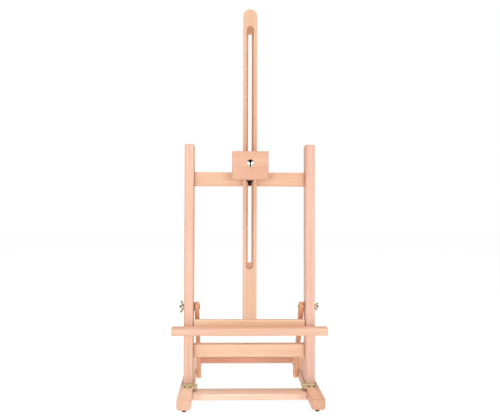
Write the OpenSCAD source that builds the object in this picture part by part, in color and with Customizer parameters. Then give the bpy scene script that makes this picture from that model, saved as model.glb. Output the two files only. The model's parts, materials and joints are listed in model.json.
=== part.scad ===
// Table-top H-frame easel in beech: a base of two runners and two rails, a hinged frame of two
// posts held at its angle by two slotted struts, and a slotted mast that carries the tray and
// the canvas holder. Right is +X, the painter stands at -Y, and the table top is at z = 0.

/* [Base] */
// Length of the runners, front to back
base_depth = 320; // [280:1:360]
// Width of one runner
runner_w = 28; // [24:1:34]
// Height of one runner
runner_h = 22; // [20:1:26]
// Distance from the centre plane to the inner face of a runner
runner_inner = 119; // [117:0.5:119]
// Radius of the lower long edges of a runner
runner_edge_r = 5.5; // [2:0.5:6]
// Height of the rubber feet
foot_h = 6; // [4:0.5:8]
// Radius of a rubber foot
foot_r = 5.5; // [4:0.5:7]
// Depth of the two base rails
rail_d = 30; // [24:1:34]
// Thickness of the two base rails
rail_t = 14; // [10:0.5:16]

/* [Posts and crossbars] */
// Width of one post
post_w = 20; // [18:1:24]
// Depth of one post
post_d = 30; // [28:1:34]
// Distance from the centre plane to the inner face of a post
post_inner = 120.5; // [120.5:0.5:122]
// Height of the post tops above the table
post_top = 544; // [520:1:580]
// Distance from the front of the runners to the front face of the posts
post_setback = 77; // [70:1:84]
// How far the frame leans back when it stands most upright, in degrees
rest_lean = 1; // [0:0.5:3]
// How far the frame tilts back from there, in degrees
tilt_travel = 12; // [6:1:12]
// Thickness of the upper crossbar and of the lower stretcher
bar_t = 14; // [12:1:14]
// How far both bars stand behind the front faces of the posts
bar_setback = 15; // [15:0.5:16]
// Height of the upper crossbar
crossbar_h = 30; // [26:1:34]
// Underside of the upper crossbar above the table
crossbar_z = 455; // [440:1:458]
// Height of the lower stretcher
stretcher_h = 28.5; // [24:0.5:32]
// Underside of the lower stretcher above the table
stretcher_z = 83; // [70:1:88]

/* [Mast] */
// Width of the mast
mast_w = 30; // [28:1:36]
// Thickness of the mast
mast_t = 14; // [13:0.5:14]
// Height of the mast's round top above the table
mast_top = 838; // [810:1:860]
// Width of the slot right through the mast
slot_w = 8; // [7:0.5:9]
// Width of the shallow channel round the slot, in the front face
channel_w = 15.6; // [15.6:0.2:17]
// Depth of that channel
channel_depth = 5; // [4.5:0.5:6]
// Lower end of the slot above the table
slot_z0 = 288; // [284:1:300]
// Upper end of the slot above the table
slot_z1 = 788; // [770:1:790]

/* [Tray] */
// Length of the tray ledge
ledge_w = 330; // [310:1:360]
// Depth of the tray ledge
ledge_d = 17; // [14:1:24]
// Height of the tray ledge
ledge_h = 17; // [14:1:22]
// Length of the bar behind the ledge, which slides between the posts
tray_bar_w = 236.6; // [232:0.2:238]
// Height of that bar
tray_bar_h = 30; // [26:1:32]
// Thickness of that bar
tray_bar_t = 12; // [10:0.5:12]
// Underside of the tray above the table
tray_z = 136.5; // [132:0.5:140]

/* [Canvas holder] */
// Width of the holder block
holder_w = 77; // [60:1:90]
// Height of the holder block
holder_h = 60; // [50:1:60]
// Thickness of the holder block
holder_t = 20; // [16:1:22]
// Underside of the holder block above the table
holder_z = 466; // [464:1:470]
// Height of the holder's bolt above the table
holder_bolt_z = 500; // [499:1:506]

/* [Struts] */
// Thickness of a strut
strut_t = 9; // [7:0.5:9]
// Width of a strut, seen from the side
strut_w = 17; // [15:1:17]
// Distance from the centre plane to the inner face of a strut
strut_inner = 109.5; // [108:0.5:109.5]
// Height of the clamp bolts of the struts above the table
strut_bolt_z = 191; // [185:1:196]
// Distance from the front face of the posts to those bolts
strut_bolt_setback = 22; // [22:0.5:23]
// Position of the strut pivots behind the middle of the base
strut_pivot_y = 25; // [15:1:35]
// Height of the strut pivots above the table
strut_pivot_z = 19; // [17:1:20]
// Play of the clamp bolt in the strut's slot, on each side
strut_play = 1.1; // [0.9:0.1:1.4]

/* [Hinges] */
// Length of a butt hinge
hinge_w = 29; // [26:1:30]
// Distance from the centre plane to the middle of a hinge
hinge_x = 124.8; // [124:0.2:126]
// Depth of one hinge leaf, measured from the pin
leaf_d = 18; // [15:1:20]
// Thickness of a hinge leaf
leaf_t = 1.2; // [1:0.1:1.4]
// Outer radius of a hinge knuckle
knuckle_r = 2; // [1.9:0.1:2.2]
// Radius of a hinge pin
hinge_pin_r = 1; // [0.9:0.05:1]

/* [Bolts, wing nuts and screws] */
// Radius of the clamp bolts
bolt_r = 3; // [2.5:0.5:3]
// Radius of the domed head of a strut bolt
strut_head_r = 6; // [5.4:0.2:7.4]
// Height of that head
strut_head_h = 2.4; // [2:0.1:3.4]
// Radius of the domed head of the mast bolt
mast_head_r = 7.4; // [6:0.2:7.4]
// Radius of the holder bolt's domed head
holder_head_r = 8; // [7:0.5:9]
// Height of those two heads
bolt_head_h = 3.4; // [2.5:0.1:3.6]
// Outer radius of a washer
washer_r = 8.5; // [7:0.5:8.5]
// Thickness of a washer
washer_t = 1.5; // [1:0.1:1.5]
// Reach of a wing from the axis of its nut
wing_reach = 12.6; // [11:0.1:12.6]
// Height of a wing nut over its wings
wing_h = 9.5; // [8:0.5:11]
// Height of the hub of a wing nut
wing_hub_h = 6; // [5:0.5:7]
// Radius of a dowel between a bar and a post
dowel_r = 4; // [3:0.5:4.5]

/* [Hidden] */

$fn = 64;
LEFT = -1;
RIGHT = 1;
beech = [0.91, 0.70, 0.52];
brass = [0.78, 0.62, 0.30];
steel = [0.72, 0.71, 0.68];
chrome = [0.80, 0.81, 0.82];
bronze = [0.50, 0.47, 0.38];
rubber = [0.12, 0.09, 0.08];

// Clearances: a turning fit, a seated piece, pieces that pass each other, pieces that slide
turn_gap = 0.05;
seat_gap = 0.02;
pass_gap = 0.3;
slide_gap = 0.2;

// Base
runner_x = runner_inner + runner_w / 2;
runner_top = foot_h + runner_h;
base_front_y = -base_depth / 2;
foot_inset = 12;
rail_rise = 1;
rail_z = foot_h + rail_rise;
front_rail_y = base_front_y + post_setback - rail_d + 1;
rear_rail_gap = 1;
rear_rail_y = base_depth / 2 - rear_rail_gap - rail_d;
rail_dowel_r = 3;
rail_dowel_pitch = 15;
dowel_len = 24;

// The frame is drawn in its own axes, with the hinge pins at y = 0, z = 0
pin_gap = knuckle_r + 0.35;
pin_y = base_front_y + post_setback - pin_gap;
pin_z = runner_top + pin_gap;
max_lean = rest_lean + tilt_travel;
post_y = pin_gap;
post_x = post_inner + post_w / 2;
post_len = post_top - pin_z;
bar_y = post_y + bar_setback;
mast_y = bar_y - pass_gap - mast_t;
mast_back = mast_y + mast_t;
mast_bolt_drop = 1.5;
mast_bolt_z = crossbar_z + crossbar_h / 2 - mast_bolt_drop;
holder_y = mast_y - slide_gap - holder_t;

// Tray
tray_bar_y = post_y - 0.5;
lap_y = tray_bar_y + tray_bar_t / 2;
ledge_y = tray_bar_y - ledge_d;
tray_v = tray_z - pin_z;

// Struts: the clamp bolt's place in the base's axes gives their length and their angle
strut_bolt_y = post_y + strut_bolt_setback;
strut_bolt_v = strut_bolt_z - pin_z + strut_bolt_y * sin(rest_lean);
function bolt_at(lean) = [
    pin_y + strut_bolt_y * cos(lean) + strut_bolt_v * sin(lean),
    pin_z - strut_bolt_y * sin(lean) + strut_bolt_v * cos(lean)
];
strut_pivot = [strut_pivot_y, strut_pivot_z];
strut_len = norm(bolt_at(rest_lean) - strut_pivot);
strut_short = norm(bolt_at(max_lean) - strut_pivot);
strut_lean = atan2(strut_pivot[0] - bolt_at(rest_lean)[0], bolt_at(rest_lean)[1] - strut_pivot[1]);
strut_foot = 10;
strut_head = 11;
strut_slot_r = bolt_r + strut_play;
strut_outer = strut_inner + strut_t;
pivot_screw_r = 2.5;
pivot_screw_bite = 12;
pivot_head_r = 4.6;
bolt_overrun = 11.8;

// Hinges and their screws
knuckle_gap = 0.15;
pin_overhang = 0.6;
hinge_screw_pitch = 11.5;
hinge_screw_run = 11;
screw_r = 1.5;
screw_head_r = 2.9;
hinge_screw_len = 12;

// Channel of the mast beyond each end of its slot
channel_overrun = 13;

// Sets children down in the place of the leaning frame
module in_frame() {
    translate([0, pin_y, pin_z])
        rotate([-rest_lean, 0, 0])
            children();
}

// A square-edged stick whose lowest corner is at (x, y, z)
module stick(x, y, z, size) {
    translate([x, y, z])
        cube(size);
}

// Extrudes a side view, drawn as (y, z), from x0 to x1
module side_view(x0, x1) {
    translate([x0, 0, 0])
        rotate([90, 0, 90])
            linear_extrude(x1 - x0)
                children();
}

// A round bar or hole from `start`, along +X, +Y or +Z
module along_x(start, length, r) {
    translate(start)
        rotate([0, 90, 0])
            cylinder(h = length, r = r);
}

module along_y(start, length, r) {
    translate(start)
        rotate([-90, 0, 0])
            cylinder(h = length, r = r);
}

// A countersunk screw whose flat head lies at z = 0 and whose shank points to -Z
module screw(length, gap = 0, r = screw_r, head_r = screw_head_r) {
    head_h = head_r - r;
    translate([0, 0, -head_h])
        cylinder(h = head_h, r1 = r + gap, r2 = head_r + gap);
    translate([0, 0, -length - gap])
        cylinder(h = length - head_h + 2 * gap, r = r + gap);
}

// A domed bolt along +Z: the head's underside is at z = 0
module domed_bolt(length, head_r, head_h) {
    sphere_r = (head_r * head_r + head_h * head_h) / (2 * head_h);
    chamfer_h = 1;
    chamfer_d = 0.8;
    intersection() {
        translate([0, 0, sphere_r - head_h])
            sphere(r = sphere_r, $fn = 128);
        translate([0, 0, -head_h])
            cylinder(h = head_h, r = head_r + 1);
    }
    cylinder(h = length - chamfer_h, r = bolt_r);
    translate([0, 0, length - chamfer_h])
        cylinder(h = chamfer_h, r1 = bolt_r, r2 = bolt_r - chamfer_d);
}

module washer() {
    difference() {
        cylinder(h = washer_t, r = washer_r);
        translate([0, 0, -1])
            cylinder(h = washer_t + 2, r = bolt_r + turn_gap);
    }
}

// A wing nut on +Z, seated at z = 0, with its two wings along the local x axis
module wing_nut() {
    wing_t = 2;
    hub_base_r = 5.6;
    hub_top_r = 4.4;
    ear_r = 3.2;
    ear_x = wing_reach - ear_r;
    ear_z = wing_h - ear_r;
    difference() {
        union() {
            cylinder(h = wing_hub_h, r1 = hub_base_r, r2 = hub_top_r);
            for (side = [0, 180])
                rotate([90, 0, side])
                    linear_extrude(wing_t, center = true) {
                        translate([ear_x, ear_z])
                            circle(r = ear_r);
                        polygon([
                            [0, 0.8], [hub_base_r - 0.4, 0.8],
                            [ear_x + ear_r * cos(-35), ear_z + ear_r * sin(-35)],
                            [ear_x + ear_r * cos(140), ear_z + ear_r * sin(140)],
                            [hub_top_r, wing_hub_h - 0.6], [0, wing_hub_h - 0.6]
                        ]);
                    }
        }
        translate([0, 0, -1])
            cylinder(h = wing_h + 2, r = bolt_r + turn_gap);
    }
}

// Places children on one side, with their +Z turned to that side's outward X
module outward(side, x, y, z) {
    translate([side * x, y, z])
        rotate([0, side * 90, 0])
            children();
}

// Base

module rail_dowels(y, gap) {
    for (side = [LEFT, RIGHT])
        for (step = [-0.5, 0.5])
            along_x([side * runner_inner - dowel_len / 2 - gap,
                     y + rail_d / 2 + step * rail_dowel_pitch, rail_z + rail_t / 2],
                    dowel_len + 2 * gap, rail_dowel_r + gap);
}

module foot_places() {
    for (side = [LEFT, RIGHT])
        for (end = [-1, 1])
            translate([side * runner_x, end * (base_depth / 2 - foot_inset), 0])
                children();
}

foot_screw_len = 14;
foot_screw_recess = 2;

module foot_screw_solids(gap = 0) {
    foot_places()
        translate([0, 0, foot_screw_recess])
            rotate([180, 0, 0])
                screw(foot_screw_len, gap);
}

// A runner's end view, with its lower edges rounded
module runner_outline() {
    translate([-runner_w / 2, runner_edge_r])
        square([runner_w, runner_h - runner_edge_r]);
    translate([-runner_w / 2 + runner_edge_r, 0])
        square([runner_w - 2 * runner_edge_r, runner_edge_r + 1]);
    for (side = [LEFT, RIGHT])
        translate([side * (runner_w / 2 - runner_edge_r), runner_edge_r])
            circle(r = runner_edge_r);
}

module hinge_screw_places(side) {
    for (step = [0, 1])
        translate([side * (hinge_x + step * hinge_screw_pitch), -hinge_screw_run, 0])
            children();
}

module base_hinge_screws(side, gap = 0) {
    translate([0, pin_y, runner_top + leaf_t])
        hinge_screw_places(side)
            screw(hinge_screw_len, gap);
}

// The countersunk screw that a strut turns on, flush with the strut's inner face
module strut_pivot_screw(side, gap = 0) {
    outward(side, strut_inner, strut_pivot_y, strut_pivot_z)
        rotate([180, 0, 0])
            screw(runner_inner + pivot_screw_bite - strut_inner, gap, pivot_screw_r, pivot_head_r);
}

module runner(side) {
    color(beech)
    difference() {
        translate([side * runner_x, base_depth / 2, foot_h])
            rotate([90, 0, 0])
                linear_extrude(base_depth)
                    runner_outline();
        rail_dowels(front_rail_y, seat_gap);
        rail_dowels(rear_rail_y, seat_gap);
        foot_screw_solids(seat_gap);
        base_hinge_screws(side, seat_gap);
        strut_pivot_screw(side, seat_gap);
    }
}

module base_rail(y) {
    color(beech)
    difference() {
        stick(-runner_inner, y, rail_z, [2 * runner_inner, rail_d, rail_t]);
        rail_dowels(y, seat_gap);
    }
}

module base_dowels() {
    color(beech) {
        rail_dowels(front_rail_y, 0);
        rail_dowels(rear_rail_y, 0);
    }
}

module rubber_feet() {
    color(rubber)
    difference() {
        foot_places()
            cylinder(h = foot_h, r1 = foot_r - 1, r2 = foot_r);
        foot_screw_solids(seat_gap);
        foot_places()
            translate([0, 0, -1])
                cylinder(h = 1 + foot_screw_recess, r = screw_head_r + seat_gap);
    }
}

module foot_screws() {
    color(steel)
        foot_screw_solids();
}

// One hinge leaf: its plate points to -Y and begins plate_x from the centre plane, and its top
// or its underside is countersunk. The knuckles stand `lift` above the place where the plate
// is tangent to them.
module hinge_leaf(side, knuckle_cells, lift, from_below, plate_x) {
    cell = hinge_w / 3;
    inner_x = side * hinge_x - hinge_w / 2;
    plate_w = hinge_x + hinge_w / 2 - plate_x;
    face_z = from_below ? -knuckle_r : leaf_t - knuckle_r;
    difference() {
        union() {
            stick(side > 0 ? plate_x : -plate_x - plate_w, -leaf_d, -knuckle_r,
                  [plate_w, leaf_d - pin_gap, leaf_t]);
            for (i = knuckle_cells) {
                along_x([inner_x + i * cell + knuckle_gap, 0, lift], cell - 2 * knuckle_gap, knuckle_r);
                stick(inner_x + i * cell + knuckle_gap, -pin_gap - 1, -knuckle_r,
                      [cell - 2 * knuckle_gap, pin_gap + 1 - hinge_pin_r, leaf_t]);
            }
        }
        along_x([inner_x - 1, 0, lift], hinge_w + 2, hinge_pin_r + turn_gap);
        for (step = [-1, 0, 1])
            translate([side * (hinge_x + step * hinge_screw_pitch), -hinge_screw_run, face_z])
                rotate([from_below ? 180 : 0, 0, 0])
                    screw(hinge_screw_len, seat_gap);
    }
}

module hinge_leaf_base(side) {
    color(brass)
    translate([0, pin_y, runner_top + knuckle_r])
        hinge_leaf(side, [0, 2], pin_gap - knuckle_r, false, hinge_x - hinge_w / 2);
}

module hinge_pins() {
    color(brass)
    for (side = [LEFT, RIGHT])
        along_x([side * hinge_x - hinge_w / 2 - pin_overhang, pin_y, pin_z],
                hinge_w + 2 * pin_overhang, hinge_pin_r);
}

module hinge_screws_base() {
    color(steel)
    for (side = [LEFT, RIGHT])
        base_hinge_screws(side);
}

module strut_pivot_screws() {
    color(steel)
    for (side = [LEFT, RIGHT])
        strut_pivot_screw(side);
}

// Hinged frame

module frame_dowel_row(z, height, gap) {
    dowel_pitch = 14;
    for (side = [LEFT, RIGHT])
        for (step = [-0.5, 0.5])
            along_x([side * post_inner - dowel_len / 2 - gap,
                     bar_y + bar_t / 2, z - pin_z + height / 2 + step * dowel_pitch],
                    dowel_len + 2 * gap, dowel_r + gap);
}

module frame_dowel_solids(gap = 0) {
    frame_dowel_row(crossbar_z, crossbar_h, gap);
    frame_dowel_row(stretcher_z, stretcher_h, gap);
}

// Sets children in the axes of the post leaf: level when the frame leans back fully
module under_post() {
    rotate([max_lean, 0, 0])
        mirror([0, 1, 0])
            children();
}

module post_hinge_screws(side, gap = 0) {
    under_post()
        translate([0, 0, -knuckle_r])
            hinge_screw_places(side)
                rotate([180, 0, 0])
                    screw(hinge_screw_len, gap);
}

// Height of the post's bevelled foot, at the depth y behind the pins
function post_foot(y) = (leaf_t - knuckle_r + y * sin(max_lean)) / cos(max_lean);

module post(side) {
    color(beech)
    in_frame()
        difference() {
            side_view(side * post_x - post_w / 2, side * post_x + post_w / 2)
                polygon([
                    [post_y, post_foot(post_y)],
                    [post_y + post_d, post_foot(post_y + post_d)],
                    [post_y + post_d, post_len],
                    [post_y, post_len]
                ]);
            frame_dowel_solids(seat_gap);
            post_hinge_screws(side, seat_gap);
            along_x([side * post_x - post_w / 2 - 1, strut_bolt_y, strut_bolt_v],
                    post_w + 2, bolt_r + turn_gap);
        }
}

module upper_crossbar() {
    color(beech)
    in_frame()
        difference() {
            stick(-post_inner, bar_y, crossbar_z - pin_z, [2 * post_inner, bar_t, crossbar_h]);
            frame_dowel_solids(seat_gap);
            along_y([0, bar_y - 1, mast_bolt_z - pin_z], bar_t + 2, bolt_r + turn_gap);
        }
}

module lower_stretcher() {
    color(beech)
    in_frame()
        difference() {
            stick(-post_inner, bar_y, stretcher_z - pin_z, [2 * post_inner, bar_t, stretcher_h]);
            frame_dowel_solids(seat_gap);
        }
}

module frame_dowels() {
    color(beech)
    in_frame()
        frame_dowel_solids();
}

// The leaf under a post is trimmed flush with the post's inner face
module hinge_leaf_post(side) {
    color(brass)
    in_frame()
        under_post()
            hinge_leaf(side, [1], 0, true, post_inner);
}

module hinge_screws_post() {
    color(steel)
    in_frame()
        for (side = [LEFT, RIGHT])
            post_hinge_screws(side);
}

module strut_bolt(side) {
    head_x = strut_inner - pass_gap;
    color(steel)
    in_frame()
        outward(side, head_x, strut_bolt_y, strut_bolt_v)
            domed_bolt(post_inner + post_w + bolt_overrun - head_x, strut_head_r, strut_head_h);
}

module strut_washers(x) {
    color(steel)
    in_frame()
        for (side = [LEFT, RIGHT])
            outward(side, x, strut_bolt_y, strut_bolt_v)
                washer();
}

// Turns +Z to +Y, at a height above the table
module backward(y, z) {
    translate([0, y, z - pin_z])
        rotate([-90, 0, 0])
            children();
}

module mast_bolt() {
    head_y = mast_y + channel_depth - pass_gap;
    color(steel)
    in_frame()
        backward(head_y, mast_bolt_z)
            domed_bolt(bar_y + bar_t + bolt_overrun - head_y, mast_head_r, bolt_head_h);
}

module mast_washer() {
    color(steel)
    in_frame()
        backward(bar_y + bar_t, mast_bolt_z)
            washer();
}

// Struts

module strut(side) {
    x0 = side > 0 ? strut_inner : -strut_outer;
    round_z = strut_len + strut_head - strut_w / 2;
    color(beech)
    difference() {
        translate([0, strut_pivot_y, strut_pivot_z])
            rotate([strut_lean, 0, 0])
                side_view(x0, x0 + strut_t)
                    difference() {
                        union() {
                            translate([-strut_w / 2, -strut_foot])
                                square([strut_w, round_z + strut_foot]);
                            translate([0, round_z])
                                circle(r = strut_w / 2);
                        }
                        slot_outline(strut_short, strut_len, strut_slot_r);
                    }
        strut_pivot_screw(side, turn_gap);
    }
}

// A slot with round ends centred at heights z0 and z1
module slot_outline(z0, z1, r) {
    translate([-r, z0])
        square([2 * r, z1 - z0]);
    for (z = [z0, z1])
        translate([0, z])
            circle(r = r);
}

// Mast and tray

// Extrudes a front view, drawn as (x, z), from y0 back to y1
module front_view(y0, y1) {
    translate([0, y1, 0])
        rotate([90, 0, 0])
            linear_extrude(y1 - y0)
                children();
}

module mast_outline() {
    round_z = mast_top - pin_z - mast_w / 2;
    translate([-mast_w / 2, tray_v])
        square([mast_w, round_z - tray_v]);
    translate([0, round_z])
        circle(r = mast_w / 2);
}

// Two screws, set on a slant, hold the foot of the mast in its lap
module mast_foot_screw_solids(gap = 0) {
    out = 7;
    rise = 6;
    length = 13;
    for (step = [-1, 1])
        translate([step * out, mast_back, tray_v + tray_bar_h / 2 + step * rise])
            rotate([-90, 0, 0])
                screw(length, gap);
}

// Four screws go through the tray bar into the ledge
module tray_screw_solids(gap = 0) {
    bite = 11;
    for (x = [-95, -40, 40, 95])
        translate([x, tray_bar_y + tray_bar_t, tray_v + ledge_h / 2])
            rotate([-90, 0, 0])
                screw(tray_bar_t + bite, gap);
}

module mast() {
    slot_r = slot_w / 2;
    channel_r = channel_w / 2;
    color(beech)
    in_frame()
        difference() {
            front_view(mast_y, mast_back)
                mast_outline();
            front_view(mast_y - 1, mast_back + 1)
                slot_outline(slot_z0 - pin_z + slot_r, slot_z1 - pin_z - slot_r, slot_r);
            front_view(mast_y - 1, mast_y + channel_depth)
                slot_outline(slot_z0 - pin_z - channel_overrun + channel_r,
                             slot_z1 - pin_z + channel_overrun - channel_r, channel_r);
            stick(-mast_w / 2 - 1, mast_y - 1, tray_v - 1,
                  [mast_w + 2, lap_y - mast_y + 1, tray_bar_h + 1]);
            mast_foot_screw_solids(seat_gap);
        }
}

module tray_bar() {
    color(beech)
    in_frame()
        difference() {
            stick(-tray_bar_w / 2, tray_bar_y, tray_v, [tray_bar_w, tray_bar_t, tray_bar_h]);
            stick(-mast_w / 2, lap_y, tray_v - 1, [mast_w, tray_bar_t, tray_bar_h + 2]);
            mast_foot_screw_solids(seat_gap);
            tray_screw_solids(seat_gap);
        }
}

module tray_ledge() {
    color(beech)
    in_frame()
        difference() {
            stick(-ledge_w / 2, ledge_y, tray_v, [ledge_w, ledge_d, ledge_h]);
            tray_screw_solids(seat_gap);
        }
}

module tray_screws() {
    color(steel)
    in_frame()
        tray_screw_solids();
}

module mast_foot_screws() {
    color(steel)
    in_frame()
        mast_foot_screw_solids();
}

// Canvas holder

module holder_block() {
    color(beech)
    in_frame()
        difference() {
            stick(-holder_w / 2, holder_y, holder_z - pin_z, [holder_w, holder_t, holder_h]);
            along_y([0, holder_y - 1, holder_bolt_z - pin_z], holder_t + 2, bolt_r + turn_gap);
        }
}

module holder_bolt() {
    color(chrome)
    in_frame()
        backward(holder_y, holder_bolt_z)
            domed_bolt(mast_back + bolt_overrun - holder_y, holder_head_r, bolt_head_h);
}

module holder_washer() {
    color(steel)
    in_frame()
        backward(mast_back + slide_gap, holder_bolt_z)
            washer();
}

// Wing nuts, each with the angle at which it was tightened
strut_nut_turn_left = 8;
strut_nut_turn_right = 43;
mast_nut_turn = 25;
holder_nut_turn = -15;

module strut_wing_nut(side, turn) {
    color(bronze)
    in_frame()
        outward(side, post_inner + post_w + washer_t + pass_gap, strut_bolt_y, strut_bolt_v)
            rotate([0, 0, turn])
                wing_nut();
}

module mast_wing_nut() {
    color(bronze)
    in_frame()
        backward(bar_y + bar_t + washer_t + pass_gap, mast_bolt_z)
            rotate([0, 0, mast_nut_turn])
                wing_nut();
}

module holder_wing_nut() {
    color(bronze)
    in_frame()
        backward(mast_back + slide_gap + washer_t + pass_gap, holder_bolt_z)
            rotate([0, 0, holder_nut_turn])
                wing_nut();
}

runner(LEFT);  // runner_left
runner(RIGHT);  // runner_right
base_rail(front_rail_y);  // base_front_rail
base_rail(rear_rail_y);  // base_rear_rail
base_dowels();
rubber_feet();
foot_screws();
hinge_leaf_base(LEFT);  // hinge_leaf_base_left
hinge_leaf_base(RIGHT);  // hinge_leaf_base_right
hinge_pins();
hinge_screws_base();
strut_pivot_screws();
post(LEFT);  // post_left
post(RIGHT);  // post_right
upper_crossbar();
lower_stretcher();
frame_dowels();
hinge_leaf_post(LEFT);  // hinge_leaf_post_left
hinge_leaf_post(RIGHT);  // hinge_leaf_post_right
hinge_screws_post();
strut_bolt(LEFT);  // strut_bolt_left
strut_bolt(RIGHT);  // strut_bolt_right
strut_washers(post_inner + post_w);  // strut_outer_washers
strut_washers(post_inner - washer_t);  // strut_spacer_washers
mast_bolt();
mast_washer();
strut(LEFT);  // strut_left
strut(RIGHT);  // strut_right
mast();
tray_bar();
tray_ledge();
tray_screws();
mast_foot_screws();
holder_block();
holder_bolt();
holder_washer();
strut_wing_nut(LEFT, strut_nut_turn_left);  // strut_wing_nut_left
strut_wing_nut(RIGHT, strut_nut_turn_right);  // strut_wing_nut_right
mast_wing_nut();
holder_wing_nut();
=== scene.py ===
import json
import math

import bmesh
import bpy
import numpy as np
from mathutils import Matrix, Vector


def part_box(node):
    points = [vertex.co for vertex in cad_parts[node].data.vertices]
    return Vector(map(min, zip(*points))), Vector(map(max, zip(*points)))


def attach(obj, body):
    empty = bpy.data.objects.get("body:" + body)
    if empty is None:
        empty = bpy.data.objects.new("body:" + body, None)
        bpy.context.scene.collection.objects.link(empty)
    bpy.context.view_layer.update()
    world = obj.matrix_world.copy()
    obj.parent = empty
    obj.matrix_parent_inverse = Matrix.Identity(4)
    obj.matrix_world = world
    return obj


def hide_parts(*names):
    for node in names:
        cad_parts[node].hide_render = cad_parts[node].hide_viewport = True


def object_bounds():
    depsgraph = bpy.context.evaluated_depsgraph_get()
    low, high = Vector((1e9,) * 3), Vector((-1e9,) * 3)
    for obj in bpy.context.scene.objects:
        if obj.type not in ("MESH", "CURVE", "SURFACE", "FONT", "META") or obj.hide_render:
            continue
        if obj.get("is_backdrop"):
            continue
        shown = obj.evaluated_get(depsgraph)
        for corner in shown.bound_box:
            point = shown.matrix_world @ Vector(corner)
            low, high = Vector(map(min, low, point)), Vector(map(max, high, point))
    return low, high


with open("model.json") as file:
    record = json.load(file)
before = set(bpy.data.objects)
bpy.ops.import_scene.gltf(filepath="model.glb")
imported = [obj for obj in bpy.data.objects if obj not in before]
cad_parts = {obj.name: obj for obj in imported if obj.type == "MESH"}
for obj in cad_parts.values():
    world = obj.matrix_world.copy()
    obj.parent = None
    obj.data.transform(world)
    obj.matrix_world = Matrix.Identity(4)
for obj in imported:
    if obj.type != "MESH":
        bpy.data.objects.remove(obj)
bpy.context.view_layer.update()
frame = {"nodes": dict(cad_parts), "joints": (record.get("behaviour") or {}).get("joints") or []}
nodes = frame["nodes"]
joints = {joint["name"]: joint for joint in frame["joints"]}


# ---- Runners
# The two feet of the base: sticks of beech laid front to back, planed square on top, with the
# lower long edges rounded over, the ends sawn square and sanded, and the whole sealed clear.

def stick(low, high, along, arris, lower_arris=None):
    """A square stick from corner low to corner high, rounded over at its long edges and ends.
    Section: a rectangle whose corners are quarter circles of radius r about a point r inside
    both sides. Length: at each end the section is drawn in by a(1 - cos t) while it moves out
    by a sin t, with t from 0 to 90 degrees and a the arris. Returns a grid, rows by columns."""
    steps = np.linspace(0, np.pi / 2, 5)
    a, b = {0: (1, 2), 1: (2, 0), 2: (0, 1)}[along]
    low, high = np.asarray(low, float), np.asarray(high, float)
    radii = np.full((4, 1), arris)
    if lower_arris:
        radii[[1, 2] if a == 2 else [2, 3]] = lower_arris
    side_a, side_b = np.array([1, -1, -1, 1])[:, None], np.array([1, 1, -1, -1])[:, None]
    centre_a = np.where(side_a > 0, high[a] - radii, low[a] + radii)
    centre_b = np.where(side_b > 0, high[b] - radii, low[b] + radii)
    angle = steps[None, :] + np.arange(4)[:, None] * np.pi / 2
    inset = arris * (1 - np.cos(steps))
    reach = arris * (1 - np.sin(steps))
    inset = np.concatenate([inset[::-1], inset])[:, None, None]
    place = np.concatenate([low[along] + reach[::-1], high[along] - reach])
    grid = np.zeros((len(place), 4, len(steps), 3))
    grid[..., a] = centre_a + (radii - inset) * np.cos(angle)
    grid[..., b] = centre_b + (radii - inset) * np.sin(angle)
    grid[..., along] = place[:, None, None]
    return grid.reshape(len(place), -1, 3)


def skin(grid):
    """Quads over a grid of points whose columns close in a ring, and a flat face on each end."""
    rows, columns = grid.shape[:2]
    corner = np.arange(rows * columns).reshape(rows, columns)
    beside = np.roll(corner, -1, axis=1)
    quads = np.stack([corner[:-1], beside[:-1], beside[1:], corner[1:]], axis=-1)
    return grid.reshape(-1, 3), quads.reshape(-1, 4).tolist() + [
        corner[0, ::-1].tolist(), corner[-1].tolist()]


def gather(grids):
    """The skins of several grids as one set of points and faces."""
    points, faces, count = [], [], 0
    for grid in grids:
        more_points, more_faces = skin(grid)
        faces += [[index + count for index in face] for face in more_faces]
        points.append(more_points)
        count += len(more_points)
    return np.concatenate(points), faces


def fix(mesh, body, slot, material, *replaced):
    """Puts a finished mesh in the scene at the origin, on its body, in place of CAD nodes."""
    made = bpy.data.objects.new(mesh.name, mesh)
    bpy.context.scene.collection.objects.link(made)
    mesh.materials.append(material)
    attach(made, body)
    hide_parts(*replaced)


def closed_mesh(name, points, faces):
    """A mesh with its doubled points merged and its faces turned outwards."""
    mesh = bpy.data.meshes.new(name)
    mesh.from_pydata(points.tolist(), [], faces)
    work = bmesh.new()
    work.from_mesh(mesh)
    bmesh.ops.remove_doubles(work, verts=work.verts, dist=1e-7)
    bmesh.ops.recalc_face_normals(work, faces=work.faces)
    work.to_mesh(mesh)
    work.free()
    return mesh


def mark_arrises(mesh, rounded):
    """Shades the rounded faces smooth and the planed ones flat, and keeps which is which."""
    mesh.polygons.foreach_set("use_smooth", rounded)
    mesh.attributes.new("arris", "FLOAT", "FACE").data.foreach_set("value", rounded.astype(float))
    mesh.update()


def of_faces(mesh, what):
    """The "normal" or the "center" of each face of a mesh, as rows of an array."""
    found = np.zeros(3 * len(mesh.polygons))
    mesh.polygons.foreach_get(what, found)
    return found.reshape(-1, 3)


def planed(name, grid, place=None):
    """A wooden piece from a grid. place sets it in the world when it was drawn level. A quad
    that squares up with none of the three axes belongs to an arris."""
    mesh = closed_mesh(name, *skin(grid))
    square = np.abs(of_faces(mesh, "normal")).max(axis=1) > math.cos(math.radians(1.8))
    quads = np.array([len(face.vertices) == 4 for face in mesh.polygons])
    mark_arrises(mesh, quads & ~square)
    if place is not None:
        mesh.transform(place)
    return mesh


def screen(red, green, blue):
    """A colour as it looks on a screen, 0 to 255, in the linear values that a shader takes."""
    seen = np.array([red, green, blue]) / 255
    linear = np.where(seen > 0.04045, ((seen + 0.055) / 1.055) ** 2.4, seen / 12.92)
    return (*linear.tolist(), 1.0)


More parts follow.
